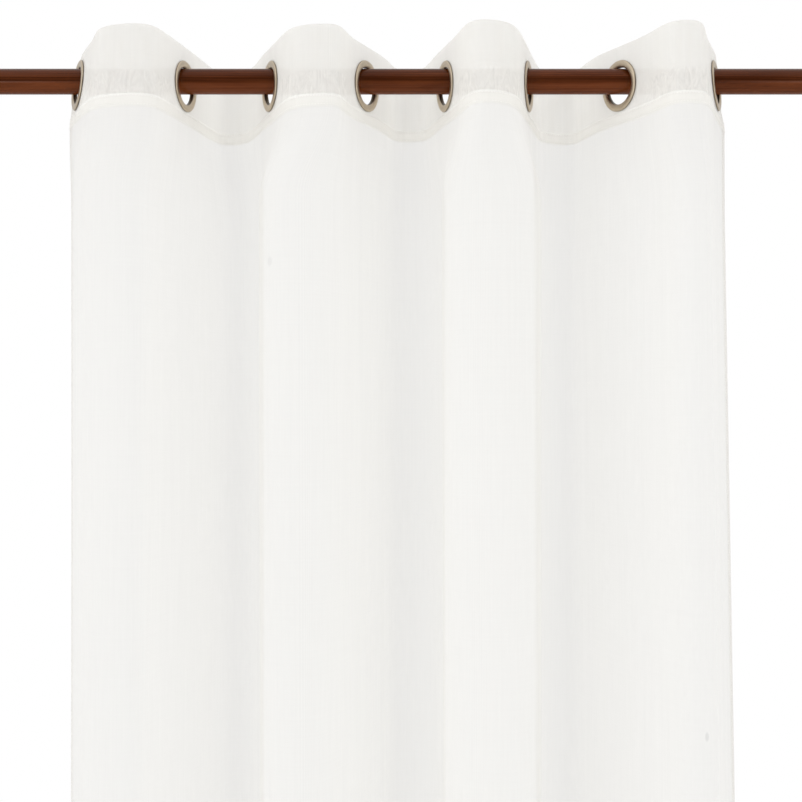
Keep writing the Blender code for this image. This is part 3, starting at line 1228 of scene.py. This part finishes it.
def crossings_mesh():
    matrices = [eyelet_matrix(index) for index in range(len(EYELETS))]
    mesh = bpy.data.meshes.new("crossings")
    mesh.from_pydata([tuple(matrix.translation) for matrix in matrices], [], [])
    layer = mesh.attributes.new("angles", "FLOAT_VECTOR", "POINT")
    angles = np.array([tuple(matrix.to_euler()) for matrix in matrices], dtype=np.float32)
    layer.data.foreach_set("vector", angles.ravel())
    return mesh


def nickel_material(look):
    """Satin nickel, brushed round the ring, with a painted dark reflection along its rim and painted
    shade inside its sleeve.
    """
    made, tree = new_material("brushed_nickel")
    place = tree.add("ShaderNodeAttribute", {"attribute_name": "turning"}, output=1)
    _, _, radius = tree.axes(place)
    brushing = tree.noise(place, (5.0, 5.0, 9000.0), detail=4.0, roughness=0.7)
    cloudy = tree.noise(place, (3.0, 3.0, 350.0), detail=2.0)
    brushed = tree.between(
        tree.band(brushing * 0.7 + cloudy * 0.3, 0.3, 0.7),
        four(tuple(channel * 0.86 for channel in look.colour)),
        four(tuple(min(1.0, channel * 1.12) for channel in look.colour)),
    )
    # Painted dark reflection towards the rim and painted shade inside the sleeve, mixed into the
    # colour.
    rim = tree.band(radius, *RIM_SHADE) * 0.6
    dull = rim + 1 - tree.band(radius, *SLEEVE_SHADE)
    shade = tree.between(dull, brushed, four(look.rim_and_sleeve_painted_shade))
    relief = tree.add(
        "ShaderNodeBump", None, {"Strength": 0.25, "Distance": 0.03 * MM, "Height": brushing}
    )
    nickel = tree.add(
        "ShaderNodeBsdfPrincipled",
        None,
        {
            "Base Color": shade,
            "Metallic": 1.0,
            "Roughness": brushing * 0.16 + (look.roughness - 0.08),
            "Normal": relief,
        },
    )
    tree.add("ShaderNodeOutputMaterial", None, {"Surface": nickel})
    return made


# Rod.


def rod_mesh():
    end = [(p.share * ROD_RADIUS, -ROD_HALF + p.inward * MM) for p in ROD_END]
    other = [(radius, -along) for radius, along in end[::-1]]
    middle = [(ROD_RADIUS, x) for x in levels(end[-1][1], other[0][1], ROD_STRETCHES)[1:-1]]
    outline = [(end + middle + other, False)]
    return turned_mesh("curtain_rod_turned", outline, ROD_SIDES, lambda x, y, z: (z, x, y))


def wood_material(look):
    """Mahogany-stained wood with growth rings, pores along the grain and satin lacquer, its lower side
    painted lighter as if lit from below and a painted dark reflection along its front.
    """
    made, tree = new_material("stained_mahogany")
    place = tree.add("ShaderNodeTexCoord", output=3)
    x, y, z = tree.axes(place)
    wander = tree.noise(place, (3.0, 30.0, 30.0), detail=2.0)
    across = y + HEART_BEFORE + (wander - 0.5) * 0.012
    up = z + HEART_BELOW
    heart = tree.maths("SQRT", across * across + up * up)
    rings = tree.maths("SINE", heart * RING_TURNS)
    streaks = tree.noise(place, (7.0, 900.0, 900.0), detail=3.0, roughness=0.65)
    clouds = tree.noise(place, (9.0, 80.0, 80.0), detail=3.0)
    pores = tree.noise(place, (60.0, 2600.0, 2600.0), detail=2.0)
    open_pores = tree.band(pores, 0.60, 0.74)
    # Painted light: the rod's lower side is lighter, as if lit from below; it is added into the grain.
    painted_underlight = tree.band(z * -1.0 + (wander - 0.5) * 0.004, 1.5 * MM, 6 * MM)
    grain = rings * 0.10 + (streaks - 0.5) * 0.60 + (clouds - 0.5) * 0.8 + painted_underlight * 0.30 + 0.36
    stained = tree.between(tree.band(grain, 0.05, 0.95), four(look.dark), four(look.light))
    # Painted reflection: a dark band along the rod's front, mixed with the real open pores into the
    # darkest colour.
    line = tree.level_band(z + (wander - 0.5) * 0.003, -3.2 * MM, 1.6 * MM, 1.0 * MM)
    seams = tree.maths("MAXIMUM", open_pores * 0.55, line * 0.32)
    colour = tree.between(seams, stained, four(tuple(c * 0.35 for c in look.dark)))
    relief = tree.add(
        "ShaderNodeBump",
        None,
        {"Strength": 0.35, "Distance": 0.08 * MM, "Height": streaks * 0.6 - open_pores * 0.5},
    )
    wood = tree.add(
        "ShaderNodeBsdfPrincipled",
        None,
        {
            "Base Color": colour,
            "Roughness": streaks * 0.14 + (look.roughness - 0.07),
            "Specular IOR Level": 0.13,
            "Normal": relief,
        },
    )
    tree.add("ShaderNodeOutputMaterial", None, {"Surface": wood})
    return made


# Stage.


def aimed(place, aim):
    """A light's or camera's matrix that looks from a place at a point."""
    turn = (Vector(aim) - Vector(place)).to_track_quat("-Z", "Y")
    return Matrix.Translation(place) @ turn.to_matrix().to_4x4()


def link_new(name, data):
    made = bpy.data.objects.new(name, data)
    bpy.context.collection.objects.link(made)
    return made


def set_camera(scene):
    data = bpy.data.cameras.new("photo_camera")
    data.lens = LENS_MM
    data.sensor_width = SENSOR_MM
    camera = link_new("photo_camera", data)
    ahead = Vector(CAMERA_PLACE) + Vector((0, 1, 0))
    camera.matrix_world = aimed(CAMERA_PLACE, ahead)
    scene.camera = camera


def set_world(scene, look):
    """White to the camera, and soft light from all round with its own strength from each side."""
    world = bpy.data.worlds.new("studio")
    scene.world = world
    world.use_nodes = True
    world.node_tree.nodes.clear()
    tree = Tree(world.node_tree)
    across, back, up = tree.axes(tree.add("ShaderNodeTexCoord", output=0))
    behind = tree.band(back, -0.35, 0.35)
    front = tree.band(back * -1.0, 0.60, 0.90)
    above = tree.band(up, 0.45, 0.85)
    left = tree.band(across * -1.0, -0.2, 0.2)
    sides = left * (look.left - look.right) + look.right
    mirrored = tree.add("ShaderNodeLightPath", output=3)
    ahead = mirrored * (look.reflected - look.front) + look.front
    room = sides * (1 - front) + front * ahead
    level = room * (1 - behind) + behind * look.behind
    strength = level * (1 - above) + above * look.above
    seen = tree.add("ShaderNodeLightPath")
    strength = strength * (1 - seen) + seen
    shine = tree.add("ShaderNodeBackground", None, {"Color": (1, 1, 1, 1), "Strength": strength})
    tree.add("ShaderNodeOutputWorld", None, {"Surface": shine})


def set_softboxes():
    for box in SOFTBOXES:
        data = bpy.data.lights.new(box.name, "AREA")
        data.shape = "RECTANGLE"
        data.size = box.width
        data.size_y = box.height
        data.energy = box.power
        lamp = link_new(box.name, data)
        lamp.matrix_world = aimed(box.place, box.aim)
        lamp.visible_camera = False


def floor_material():
    made, tree = new_material("pale_floor")
    place = tree.add("ShaderNodeTexCoord", output=3)
    mottled = tree.noise(place, (6.0, 6.0, 6.0), detail=4.0)
    colour = tree.between(mottled, (0.60, 0.595, 0.585, 1), (0.64, 0.635, 0.625, 1))
    paint = tree.add(
        "ShaderNodeBsdfPrincipled", None, {"Base Color": colour, "Roughness": 0.75}
    )
    tree.add("ShaderNodeOutputMaterial", None, {"Surface": paint})
    return made


def set_floor(look):
    mesh = bpy.data.meshes.new("pale_floor")
    bm = bmesh.new()
    bmesh.ops.create_circle(bm, cap_ends=True, segments=128, radius=look.floor_radius)
    bmesh.ops.translate(bm, verts=bm.verts, vec=(0, 0, HEM_Z - FLOOR_GAP))
    bm.to_mesh(mesh)
    bm.free()
    mesh.materials.append(floor_material())
    link_new("pale_floor", mesh)


# Operators.


class CURTAIN_OT_stage(bpy.types.Operator):
    """Sets the camera, the soft studio light and the pale floor"""

    bl_idname = "curtain.stage"
    bl_label = "Set the stage"

    def execute(self, context):
        scene = context.scene
        scene.view_settings.view_transform = "Standard"
        set_camera(scene)
        set_world(scene, scene.curtain_stage)
        set_softboxes()
        set_floor(scene.curtain_stage)
        return {"FINISHED"}


class CURTAIN_OT_rod(bpy.types.Operator):
    """Turns the wooden rod with its eased ends"""

    bl_idname = "curtain.rod"
    bl_label = "Turn the rod"

    def execute(self, context):
        material = wood_material(context.scene.curtain_rod)
        rod = new_piece("curtain_rod_turned", rod_mesh(), material)
        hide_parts("curtain_rod")
        return {"FINISHED"}


class CURTAIN_OT_eyelets(bpy.types.Operator):
    """Sets an eyelet at each crossing"""

    bl_idname = "curtain.eyelets"
    bl_label = "Set the eyelets"

    def execute(self, context):
        material = nickel_material(context.scene.curtain_eyelet)
        ring = link_new("eyelet_ring", ring_mesh())
        group, sockets = ring_tree()
        settings = {sockets["Ring"]: ring, sockets["Material"]: material}
        mesh = grown_mesh("eyelet_rings", crossings_mesh(), group, settings)
        bpy.data.objects.remove(ring, do_unlink=True)
        rings = new_piece("eyelet_rings", mesh, material)
        numbers = range(1, len(EYELETS) + 1)
        halves = [f"eyelet_{number}_{half}" for number in numbers for half in ("front", "back")]
        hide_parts(*halves)
        return {"FINISHED"}


class CURTAIN_OT_voile(bpy.types.Operator):
    """Hangs the sheer cloth with its folds, heading and hems, and sews it"""

    bl_idname = "curtain.voile"
    bl_label = "Hang and sew the voile"

    def execute(self, context):
        look = context.scene.curtain_voile
        thread = context.scene.curtain_thread
        cloth = Cloth(look.crease, look.seed)
        panel = new_piece("voile_panel", voile_mesh(cloth), voile_material(look))
        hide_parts("curtain_panel")
        material = thread_material(thread)
        group, sockets = stitch_tree()
        settings = {
            sockets["Pitch"]: thread.pitch,
            sockets["Stitch length"]: thread.length,
            sockets["Thickness"]: thread.thickness,
            sockets["Seed"]: STITCH_SEED,
            sockets["Material"]: material,
        }
        size = thread.thickness
        strip_foot = level_seams(cloth, HEADING_FOOT_Z + STITCH_INSET, size)
        strip_top = level_seams(cloth, STRIP_TOP_Z - STITCH_INSET, size)
        seams = {
            "heading_stitches": strip_foot + strip_top,
            "bottom_hem_stitches": level_seams(cloth, HEM_TOP_Z - STITCH_INSET, size),
            "side_hem_stitches": side_seams(cloth, size),
        }
        lining = new_piece("heading_lining", lining_mesh(cloth), lining_material(look))
        for name, lines in seams.items():
            mesh = grown_mesh(name, seam_mesh(name, lines), group, settings)
            new_piece(name, mesh, material)
        return {"FINISHED"}


class CURTAIN_PT_panel(bpy.types.Panel):
    """Lists the curtain's settings and the steps that make it"""

    bl_idname = "CURTAIN_PT_panel"
    bl_label = "Voile curtain"
    bl_space_type = "VIEW_3D"
    bl_region_type = "UI"
    bl_category = "Curtain"

    def draw(self, context):
        for names, step in STEPS:
            column = self.layout.box().column()
            for name in names:
                group = getattr(context.scene, name)
                for setting in group.bl_rna.properties:
                    if setting.identifier in group.__annotations__:
                        column.prop(group, setting.identifier)
            column.operator(step)


STEPS = (
    (("curtain_stage",), "curtain.stage"),
    (("curtain_rod",), "curtain.rod"),
    (("curtain_eyelet",), "curtain.eyelets"),
    (("curtain_voile", "curtain_thread"), "curtain.voile"),
)
GROUPS = {
    "curtain_voile": CurtainVoile,
    "curtain_thread": CurtainThread,
    "curtain_eyelet": CurtainEyelet,
    "curtain_rod": CurtainRod,
    "curtain_stage": CurtainStage,
}
CLASSES = (
    *GROUPS.values(),
    CURTAIN_OT_stage,
    CURTAIN_OT_rod,
    CURTAIN_OT_eyelets,
    CURTAIN_OT_voile,
    CURTAIN_PT_panel,
)


def register():
    for made in CLASSES:
        bpy.utils.register_class(made)
    for name, group in GROUPS.items():
        setattr(bpy.types.Scene, name, PointerProperty(type=group))


def unregister():
    for name in GROUPS:
        delattr(bpy.types.Scene, name)
    for made in reversed(CLASSES):
        bpy.utils.unregister_class(made)


def main():
    register()
    bpy.ops.curtain.stage()
    bpy.ops.curtain.rod()
    bpy.ops.curtain.eyelets()
    bpy.ops.curtain.voile()


if __name__ == "__main__":
    main()
